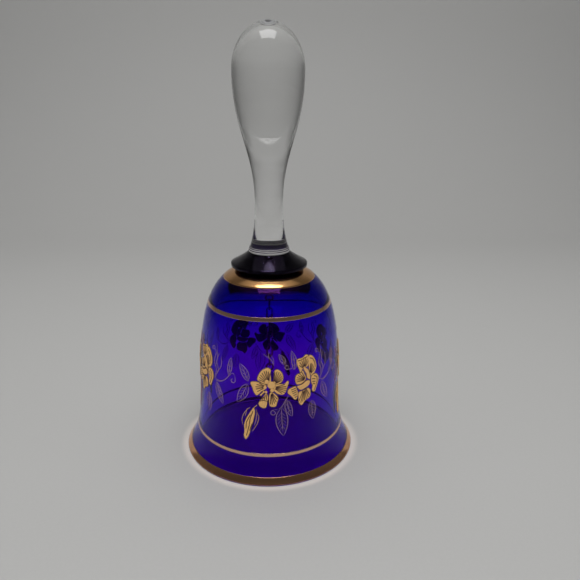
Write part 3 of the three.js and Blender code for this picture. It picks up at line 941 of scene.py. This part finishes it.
def glass(name, wave, smear, scale=60.0, absorbs=None, depth=0.0, shine=(1, 1, 1), bends=1.5):
    """Clear or coloured glass. Its colour comes from what the depth of it absorbs."""
    found = bpy.data.materials.get(name)
    if found:
        return found
    material, tree, shader = new_material(name)
    shader.inputs["Base Color"].default_value = (1, 1, 1, 1)
    shader.inputs["Transmission Weight"].default_value = 1.0
    shader.inputs["IOR"].default_value = bends
    shader.inputs["Specular Tint"].default_value = (*shine, 1)
    skin_node = node(tree, "ShaderNodeGroup", node_tree=group_of("glass_skin", glass_skin_group))
    skin_node.inputs["Wave"].default_value = wave
    skin_node.inputs["Smear"].default_value = smear
    skin_node.inputs["Scale"].default_value = scale
    tree.links.new(skin_node.outputs["Roughness"], shader.inputs["Roughness"])
    tree.links.new(skin_node.outputs["Normal"], shader.inputs["Normal"])
    if absorbs:
        inside = node(tree, "ShaderNodeVolumeAbsorption", {"Color": (*absorbs, 1), "Density": depth})
        tree.links.new(inside.outputs["Volume"], tree.nodes["Material Output"].inputs["Volume"])
    return material


def gold(name, tone, wear, polish, grain, metal=1.0, lined=False):
    """Fired gold of one tone. `metal` falls as the gold dulls. `lined` reads how much of each point is
    drawn line, where there is less metal."""
    found = bpy.data.materials.get(name)
    if found:
        return found
    material, tree, shader = new_material(name)
    finishes = sizes().bell_finishes
    fired = node(tree, "ShaderNodeGroup", node_tree=group_of("fired_gold", fired_gold_group))
    fired.inputs["Gold"].default_value = (*tone, 1)
    fired.inputs["Rubbed"].default_value = shaded(tone, 0.55)
    fired.inputs["Drawn"].default_value = (*finishes.drawn_line, 1)
    fired.inputs["Wear"].default_value = wear
    fired.inputs["Polish"].default_value = polish
    fired.inputs["Grain"].default_value = grain
    fired.inputs["Metal"].default_value = metal
    shader.inputs["Metallic"].default_value = metal
    if lined:
        line = node(tree, "ShaderNodeAttribute", attribute_name="line")
        tree.links.new(line.outputs["Fac"], fired.inputs["Line"])
        tree.links.new(fired.outputs["Metallic"], shader.inputs["Metallic"])
    tree.links.new(fired.outputs["Color"], shader.inputs["Base Color"])
    tree.links.new(fired.outputs["Roughness"], shader.inputs["Roughness"])
    tree.links.new(fired.outputs["Normal"], shader.inputs["Normal"])
    return material


def cobalt_glass():
    """The cup's deep blue glass."""
    finishes = sizes().bell_finishes
    return glass(
        "blown_cobalt",
        0.12,
        0.03,
        45.0,
        tuple(finishes.cobalt),
        finishes.cobalt_depth,
        tuple(finishes.cobalt_shine),
        1.36,
    )


def collar_glass():
    """The collar's glass, so deep that it looks almost black."""
    finishes = sizes().bell_finishes
    return glass(
        "blown_collar",
        0.03,
        0.02,
        80.0,
        tuple(finishes.collar),
        finishes.collar_depth,
        tuple(finishes.collar_shine),
        1.3,
    )


def clear_glass():
    """The handle's clear glass, faintly grey in its depth."""
    finishes = sizes().bell_finishes
    return glass("drawn_clear", 0.05, 0.02, 40.0, tuple(finishes.clear), finishes.clear_depth)


def bead_glass():
    """The bead's clear glass."""
    return glass("wound_bead", 0.06, 0.02, 120.0)


def fused_joint():
    """The cobalt of the collar, met from inside the clear foot that is fused to it. Rays that have been
    bent several times meet a painted glow on it, an emission that keeps a dark spot out of the top of the
    drop."""
    found = bpy.data.materials.get("fused_joint")
    if found:
        return found
    material, tree, shader = new_material("fused_joint")
    tone = sizes().bell_finishes.joint
    cloud = mixed(tree, noise(tree, 300.0, 2.0), shaded(tone, 0.5), shaded(tone, 1.6))
    tree.links.new(cloud, shader.inputs["Base Color"])
    path = node(tree, "ShaderNodeLightPath")
    # Painted glow: emission that rises with the ray's bounce count, though the joint is no lamp.
    far = ranged(tree, path.outputs["Ray Depth"], 2.5, 4.0, 0.0, 0.45)
    tree.links.new(far, shader.inputs["Emission Strength"])
    shader.inputs["Roughness"].default_value = 0.35
    shader.inputs["Specular IOR Level"].default_value = 0.1
    return material


def ringed_foot():
    """The pressed rings round the handle's foot: a painted highlight makes their clear glass whitish all
    over, and painted shade draws thin dark lines in the grooves between them."""
    found = bpy.data.materials.get("ringed_foot")
    if found:
        return found
    material, tree, shader = new_material("ringed_foot")
    # Painted highlight: a whitish colour, varied by noise, stands in for the light the rings catch.
    shade = mixed(tree, noise(tree, 500.0, 3.0), (0.62, 0.60, 0.60, 1), (0.95, 0.94, 0.92, 1))
    height = node(tree, "ShaderNodeSeparateXYZ", {0: own_place(tree)}).outputs["Z"]
    # Painted shade: a thin dark line at each groove height between the rings.
    for groove in FOOT_SHADE_LINES:
        above = maths(tree, "SUBTRACT", height, low("handle").z + groove * MM)
        painted_groove_shade = ranged(tree, maths(tree, "ABSOLUTE", above), 0.08 * MM, 0.2 * MM, 1.0, 0.0)
        shade = mixed(tree, painted_groove_shade, shade, (0.05, 0.03, 0.08, 1))
    tree.links.new(shade, shader.inputs["Base Color"])
    shader.inputs["Transmission Weight"].default_value = 0.45
    shader.inputs["Roughness"].default_value = 0.12
    return material


def paper():
    """Pale paper with faint fibres, and a painted pool of light round the lip where its colour is lightened.
    """
    material, tree, shader = new_material("paper_sheet")
    finishes = sizes().bell_finishes
    fibres = mixed(tree, noise(tree, 900.0, 4.0), shaded(finishes.paper, 0.97), shaded(finishes.paper, 1.03))
    # Painted pool of light: the colour is lightened close to the axis, round the lip, and fades outward.
    away = node(tree, "ShaderNodeVectorMath", {0: own_place(tree)}, operation="LENGTH").outputs["Value"]
    glow = ranged(tree, away, LIGHT_POOL_FROM, LIGHT_POOL_TO, 1.0, 0.0, interpolation_type="SMOOTHSTEP")
    tree.links.new(mixed(tree, glow, fibres, (*finishes.painted_light_pool, 1)), shader.inputs["Base Color"])
    shader.inputs["Roughness"].default_value = 0.55
    return material


def band_gold():
    """Burnished gold over the crown."""
    return gold("burnished_band", sizes().bell_finishes.band_gold, 0.25, 0.16, 0.05)


def lip_gold():
    """The rubbed, browner gold of the mouth."""
    return gold("worn_lip", sizes().bell_finishes.lip_gold, 0.6, 0.1, 0.05)


def line_gold():
    """The pinkish gold of the two thin lines."""
    return gold("rubbed_line", sizes().bell_finishes.line_gold, 0.3, 0.13, 0.08)


def flower_gold():
    """Satin gold with dark lines drawn in it."""
    return gold("satin_flower", sizes().bell_finishes.flower_gold, 0.25, 0.42, 0.3, 0.3, lined=True)


def leaf_gold():
    """The dull gold of the leaves' line work."""
    return gold("drawn_leaf", sizes().bell_finishes.leaf_gold, 0.5, 0.42, 0.3, 0.8)


def brass_wire():
    """Worn brass of the chain, hanger and pin."""
    return gold("brass_wire", sizes().bell_finishes.brass, 0.5, 0.28, 0.2)


# ---------------------------------------------------------------- operators


class BELL_OT_cup(bpy.types.Operator):
    """Blow the cobalt cup"""

    bl_idname = "bell.cup"
    bl_label = "Cup"

    def execute(self, context):
        make_piece("cobalt_cup", cup_surface(), cobalt_glass(), node="bell_cup")
        return {"FINISHED"}


class BELL_OT_collar(bpy.types.Operator):
    """Make the collar disc between cup and handle"""

    bl_idname = "bell.collar"
    bl_label = "Collar"

    def execute(self, context):
        handle = context.scene.bell_handle
        hi = high("collar")
        rim, neck = hi.x, handle.collar_neck
        step = context.scene.bell_cup.crown_height + 0.05 * MM
        underside = step + handle.collar_lift
        hung = underside - handle.collar_droop
        rim_top = hung + handle.collar_rim
        r = handle.collar_rounding
        controls = [(neck, step), (neck + 0.5 * MM, underside), (neck + 2 * MM, underside), (rim - r, hung)]
        under = bezier(controls, 16)
        low_edge = bezier([under[-1], (rim, hung), (rim, hung + r)], 6)
        top_edge = bezier([(rim, rim_top), (rim, rim_top + r / 2), (rim - r, rim_top + r)], 6)
        face = bezier([top_edge[-1], (rim - 4.4 * MM, hi.z - 1.95 * MM), (handle.collar_top, hi.z)], 26)
        profile = np.vstack([[(0, step)], under, low_edge[1:], top_edge, face[1:], [(0, hi.z)]])
        make_piece("collar_disc", turned(profile), collar_glass(), node="collar")
        return {"FINISHED"}


class BELL_OT_handle(bpy.types.Operator):
    """Draw the clear drop handle"""

    bl_idname = "bell.handle"
    bl_label = "Handle"

    def execute(self, context):
        handle = context.scene.bell_handle
        lo, hi = low("handle"), high("handle")
        bulb, widest = hi.x, hi.z - handle.bulb_drop
        stem = lo.z + handle.stem_height
        beads = []
        a = np.linspace(-math.pi / 2, math.pi / 2, 9)
        for inward, up, size in FOOT_RINGS:
            centre = np.array([handle.foot_radius - (inward + size) * MM, lo.z + up * MM])
            beads.append(centre + size * MM * np.stack([np.cos(a), np.sin(a)], -1))
        rings = np.vstack(beads)
        slim = handle.stem_radius
        spread = (handle.foot_radius - 1.5 * MM, lo.z + 5 * MM)
        foot = bezier([rings[-1] + [0, 0.1 * MM], spread, (slim, stem - 11 * MM), (slim, stem)], 36)
        swell = bezier([(slim, stem), (slim, stem + 19 * MM), (bulb, widest - 21 * MM), (bulb, widest)], 60)
        a = np.linspace(0, math.pi / 2, 40)
        crown = np.stack([bulb * np.cos(a), widest + (hi.z - widest) * np.sin(a)], -1)
        crown[-1, 0] = 0
        profile = np.vstack([[(0, lo.z)], rings, foot, swell[1:], crown[1:]])
        piece = make_piece("drop_handle", turned(profile), clear_glass(), node="handle")
        piece.data.materials.append(fused_joint())
        piece.data.materials.append(ringed_foot())
        centres = np.zeros(len(piece.data.polygons) * 3)
        piece.data.polygons.foreach_get("center", centres)
        height = centres.reshape(-1, 3)[:, 2]
        finish = np.where(height < lo.z + 0.08 * MM, 1, np.where(height < rings[-1, 1], 2, 0))
        piece.data.polygons.foreach_set("material_index", finish.astype(np.int32))
        return {"FINISHED"}


class BELL_OT_bands(bpy.types.Operator):
    """Fire the gold bands and lines"""

    bl_idname = "bell.bands"
    bl_label = "Gilt Bands"

    def execute(self, context):
        finishes = {"lip_gilt_band": lip_gold, "lower_gilt_line": line_gold, "upper_gilt_line": line_gold}
        for name, finish in finishes.items():
            under = side_profile(low(name).z, high(name).z, 30)
            make_piece("fired_" + name, band_surface(under), finish(), node=name)
        outer = high("shoulder_gilt_band").x
        under = crown_profile(outer, context.scene.bell_handle.collar_neck + 0.4 * MM, 24)
        band = band_surface(under)
        make_piece("fired_shoulder_band", band, band_gold(), node="shoulder_gilt_band")
        return {"FINISHED"}


class BELL_OT_flowers(bpy.types.Operator):
    """Raise the flowers and buds of every sprig"""

    bl_idname = "bell.flowers"
    bl_label = "Flowers"

    def execute(self, context):
        first = sprig_place(1)
        blossom = [petal(first, *drawing) for drawing in OPEN_PETALS]
        blossom += [dot(first, centre, radius, DOT_LAYER) for centre, radius in OPEN_DOTS]
        side = [petal(first, *drawing) for drawing in SIDE_PETALS]
        bud = [petal(first, *drawing) for drawing in BUD_PETALS]
        bud += [stroke(first, path, width) for path, width in BUD_SEPALS]
        for name, tiles in (("open_blossom", blossom), ("side_blossom", side), ("bud", bud)):
            repeat_round(name, *joined(tiles), flower_gold(), "flower_gold")
        return {"FINISHED"}


class BELL_OT_leaves(bpy.types.Operator):
    """Draw the leaves, fronds and curls of every sprig"""

    bl_idname = "bell.leaves"
    bl_label = "Leaves"

    def execute(self, context):
        first = sprig_place(1)
        for name, strokes in LEAVES.items():
            drawn = joined([stroke(first, path, width) for path, width in strokes])
            repeat_round(name, *drawn, leaf_gold(), "leaf_gold")
        return {"FINISHED"}


class BELL_OT_clapper(bpy.types.Operator):
    """Hang the chain and its bead"""

    bl_idname = "bell.clapper"
    bl_label = "Clapper"

    def execute(self, context):
        wire = context.scene.bell_clapper.wire
        brass = brass_wire()
        plate, eye, ring = hanger_surface(), wire_ring("hanger_eye", wire), wire_ring("clapper_eye", wire)
        make_piece("crown_plate", plate, brass, node="hanger_plate")
        make_piece("crown_eye", eye, brass, node="hanger_eye")
        for number in range(1, LINKS + 1):
            name = f"chain_link_{number}"
            make_piece("wire_" + name, wire_ring(name, wire), brass, f"link_{number}", name)
        make_piece("bead_eye", ring, brass, "clapper", "clapper_eye")
        make_piece("bead_pin", pin_surface(), brass, "clapper", "clapper_pin")
        make_piece("glass_bead", bead_surface(), bead_glass(), "clapper", "clapper_bead")
        return {"FINISHED"}


class BELL_OT_stage(bpy.types.Operator):
    """Set the sheet, the lights and the camera"""

    bl_idname = "bell.stage"
    bl_label = "Stage"

    def execute(self, context):
        self.lay_sheet()
        self.light(context.scene.bell_stage)
        self.stand_camera(context.scene)
        return {"FINISHED"}

    def lay_sheet(self):
        """A pale sheet that lies flat under the bell and curves up behind it."""
        a = np.linspace(0, math.pi / 2, 24)
        curve = np.stack([SHEET_BACK + SHEET_BEND * np.sin(a), SHEET_BEND * (1 - np.cos(a))], -1)
        side = np.vstack([[(SHEET_FRONT, 0)], curve, [(SHEET_BACK + SHEET_BEND, SHEET_TOP)]])
        x = np.linspace(-SHEET_SIDE, SHEET_SIDE, 5)
        grid = np.stack(np.broadcast_arrays(x[None], side[:, :1], side[:, 1:]), -1)
        rows, columns = grid.shape[:2]
        corner = (np.arange(rows - 1)[:, None] * columns + np.arange(columns - 1)).ravel()
        faces = np.stack([corner, corner + 1, corner + columns + 1, corner + columns], -1)
        surface = grid.reshape(-1, 3), faces, np.zeros((0, 3), int)
        sheet = make_piece("paper_sheet", surface, paper(), body=None)

    def light(self, stage):
        """An overhead softbox and the even light of a pale room, darker low down."""
        self.hang_softbox("softbox", stage.softbox_power, (0.0, -0.14, 0.75), -8, (0.42, 0.30))
        washes = [
            self.hang_softbox("sheet_wash", stage.sheet_power, (0.0, 0.30, 0.6), 0, (1.2, 0.3)),
            self.hang_softbox("wall_wash", stage.wall_power, (0.0, 0.0, 0.5), 55, (1.2, 0.3)),
            self.hang_softbox("front_fill", stage.fill_power, (0.0, -0.5, 0.34), 66, (0.4, 0.2)),
        ]
        for wash in washes:
            wash.visible_glossy = False
        washes[-1].visible_transmission = False
        world = bpy.data.worlds.new("pale_room")
        bpy.context.scene.world = world
        world.use_nodes = True
        tree = world.node_tree
        background = tree.nodes["Background"]
        place = node(tree, "ShaderNodeTexCoord")
        part = node(tree, "ShaderNodeSeparateXYZ", {"Vector": place.outputs["Generated"]})
        ramp = node(tree, "ShaderNodeValToRGB", {"Fac": part.outputs["Z"]})
        stops = ramp.color_ramp.elements
        stops[0].position, stops[0].color = 0.0, (0.28, 0.28, 0.28, 1)
        stops[1].position, stops[1].color = 0.92, (1.0, 1.0, 0.98, 1)
        stops.new(0.5).color = (0.14, 0.14, 0.14, 1)
        stops.new(0.72).color = (0.28, 0.28, 0.28, 1)
        tree.links.new(ramp.outputs["Color"], background.inputs["Color"])
        background.inputs["Strength"].default_value = stage.room_light

    def hang_softbox(self, name, power, place, lean, size):
        """A rectangular soft light that faces down, leant by some degrees."""
        lamp = bpy.data.lights.new(name, "AREA")
        lamp.shape = "RECTANGLE"
        lamp.size, lamp.size_y = size
        lamp.energy = power
        box = bpy.data.objects.new(name, lamp)
        box.location = place
        box.rotation_euler = (math.radians(lean), 0, 0)
        bpy.context.scene.collection.objects.link(box)
        return box

    def stand_camera(self, scene):
        """The camera, in front of the bell and a little above its shoulder."""
        stage = scene.bell_stage
        lens = bpy.data.cameras.new("camera")
        lens.lens = stage.lens
        lens.sensor_width = 36.0
        lens.clip_start = 0.01
        camera = bpy.data.objects.new("camera", lens)
        camera.location = (0, -stage.camera_back, stage.camera_height)
        look = Euler((math.pi / 2 - stage.camera_dip, 0, -stage.camera_turn)).to_matrix()
        camera.rotation_euler = (look @ Euler((0, 0, stage.camera_roll)).to_matrix()).to_euler()
        scene.collection.objects.link(camera)
        scene.camera = camera
        scene.view_settings.view_transform = "Standard"


class BELL_PT_pieces(bpy.types.Panel):
    """Lists the bell's pieces in the sidebar"""

    bl_label = "Glass Hand Bell"
    bl_idname = "BELL_PT_pieces"
    bl_space_type = "VIEW_3D"
    bl_region_type = "UI"
    bl_category = "Bell"

    def draw(self, context):
        for operator in OPERATORS:
            self.layout.operator(operator.bl_idname)


SETTINGS = {
    "bell_cup": CupSizes,
    "bell_handle": HandleSizes,
    "bell_gilding": GildingSizes,
    "bell_clapper": ClapperSizes,
    "bell_finishes": Finishes,
    "bell_stage": StageSizes,
}
OPERATORS = (
    BELL_OT_stage,
    BELL_OT_cup,
    BELL_OT_collar,
    BELL_OT_handle,
    BELL_OT_bands,
    BELL_OT_flowers,
    BELL_OT_leaves,
    BELL_OT_clapper,
)


def register():
    for name, group in SETTINGS.items():
        bpy.utils.register_class(group)
        setattr(bpy.types.Scene, name, bpy.props.PointerProperty(type=group))
    for operator in OPERATORS:
        bpy.utils.register_class(operator)
    bpy.utils.register_class(BELL_PT_pieces)


def unregister():
    bpy.utils.unregister_class(BELL_PT_pieces)
    for operator in reversed(OPERATORS):
        bpy.utils.unregister_class(operator)
    for name, group in reversed(SETTINGS.items()):
        delattr(bpy.types.Scene, name)
        bpy.utils.unregister_class(group)


def main():
    register()
    bpy.ops.bell.stage()
    bpy.ops.bell.cup()
    bpy.ops.bell.collar()
    bpy.ops.bell.handle()
    bpy.ops.bell.bands()
    bpy.ops.bell.flowers()
    bpy.ops.bell.leaves()
    bpy.ops.bell.clapper()


if __name__ == "__main__":
    main()
